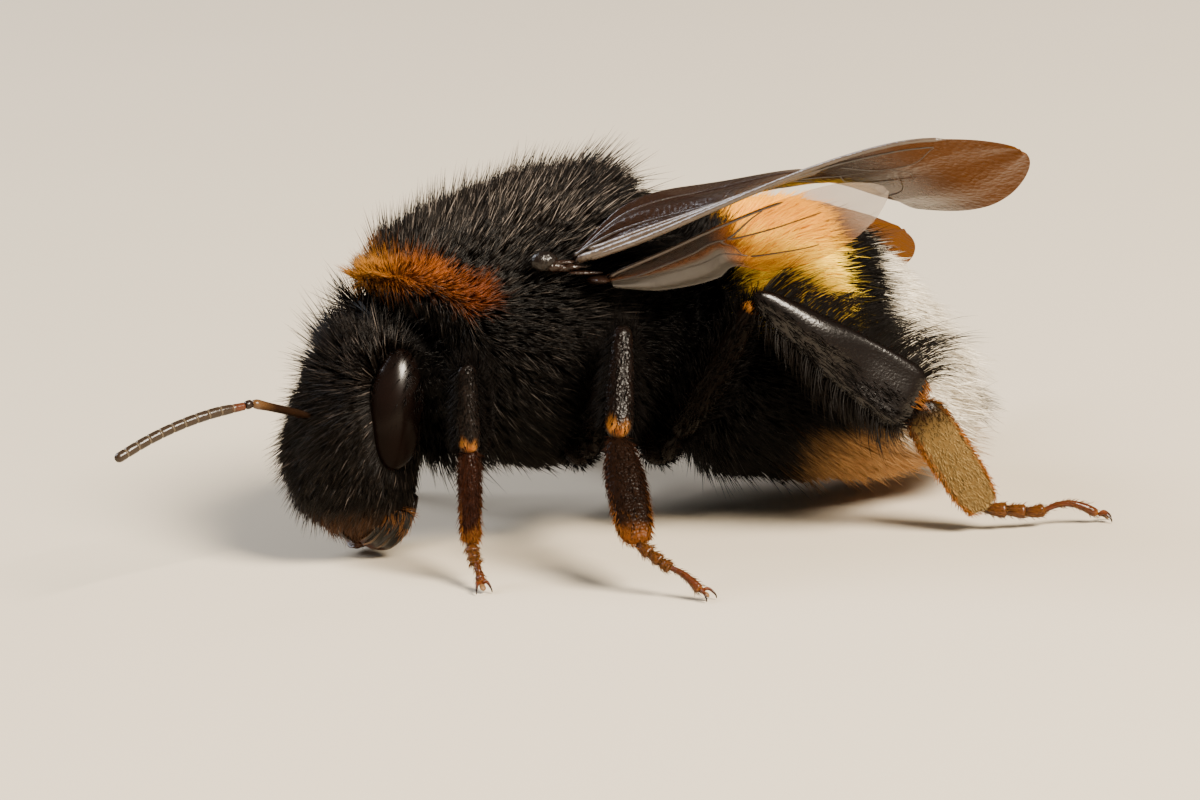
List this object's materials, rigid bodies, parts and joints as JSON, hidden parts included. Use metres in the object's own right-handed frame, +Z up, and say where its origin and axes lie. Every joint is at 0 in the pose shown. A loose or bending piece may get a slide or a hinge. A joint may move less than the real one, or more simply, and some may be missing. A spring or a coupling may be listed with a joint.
{
  "type": "bumblebee",
  "caption": "Life-size still model of a buff-tailed bumblebee queen standing, head low, wings half folded and swept back over the flanks.",
  "frame": {"origin": "on the floor under the middle of the bee's bounding box, so that she stands on z = 0", "axes": "+Z up; the head points towards -X and the tail towards +X; her left side, which the camera sees, faces -Y and her right side +Y"},
  "size_m": [0.0264, 0.023, 0.0119],
  "materials": {
    "black_coat": "soft black hair with a grey sheen; ochre hair makes the collar at the front of the thorax",
    "yellow_coat": "bright golden yellow hair",
    "white_coat": "white hair, buff below",
    "dark_horn": "glossy black-brown chitin with short hair",
    "amber_horn": "translucent amber chitin with short orange hair",
    "eye": "glossy black compound eye",
    "wing": "thin brown translucent membrane with dark veins"
  },
  "bodies": {
    "root": {"abdomen_1": "black_coat", "abdomen_2": "yellow_coat", "abdomen_3": "black_coat", "abdomen_4": "white_coat", "abdomen_5": "white_coat", "abdomen_6": "black_coat", "eye_left": "eye", "eye_right": "eye", "flagellum_left": "dark_horn", "flagellum_right": "dark_horn", "fore_left_basitarsus": "dark_horn", "fore_left_coxa": "dark_horn", "fore_left_femur": "dark_horn", "fore_left_tarsus": "amber_horn", "fore_left_tibia": "dark_horn", "fore_right_basitarsus": "dark_horn", "fore_right_coxa": "dark_horn", "fore_right_femur": "dark_horn", "fore_right_tarsus": "amber_horn", "fore_right_tibia": "dark_horn", "forewing_left": "wing", "forewing_right": "wing", "head": "black_coat", "hind_left_basitarsus": "dark_horn", "hind_left_coxa": "dark_horn", "hind_left_femur": "dark_horn", "hind_left_tarsus": "amber_horn", "hind_left_tibia": "dark_horn", "hind_right_basitarsus": "dark_horn", "hind_right_coxa": "dark_horn", "hind_right_femur": "dark_horn", "hind_right_tarsus": "amber_horn", "hind_right_tibia": "dark_horn", "hindwing_left": "wing", "hindwing_right": "wing", "mandible_left": "dark_horn", "mandible_right": "dark_horn", "mid_left_basitarsus": "dark_horn", "mid_left_coxa": "dark_horn", "mid_left_femur": "dark_horn", "mid_left_tarsus": "amber_horn", "mid_left_tibia": "dark_horn", "mid_right_basitarsus": "dark_horn", "mid_right_coxa": "dark_horn", "mid_right_femur": "dark_horn", "mid_right_tarsus": "amber_horn", "mid_right_tibia": "dark_horn", "proboscis": "dark_horn", "scape_left": "dark_horn", "scape_right": "dark_horn", "tegula_left": "dark_horn", "tegula_right": "dark_horn", "thorax": "black_coat"}
  },
  "joints": []
}
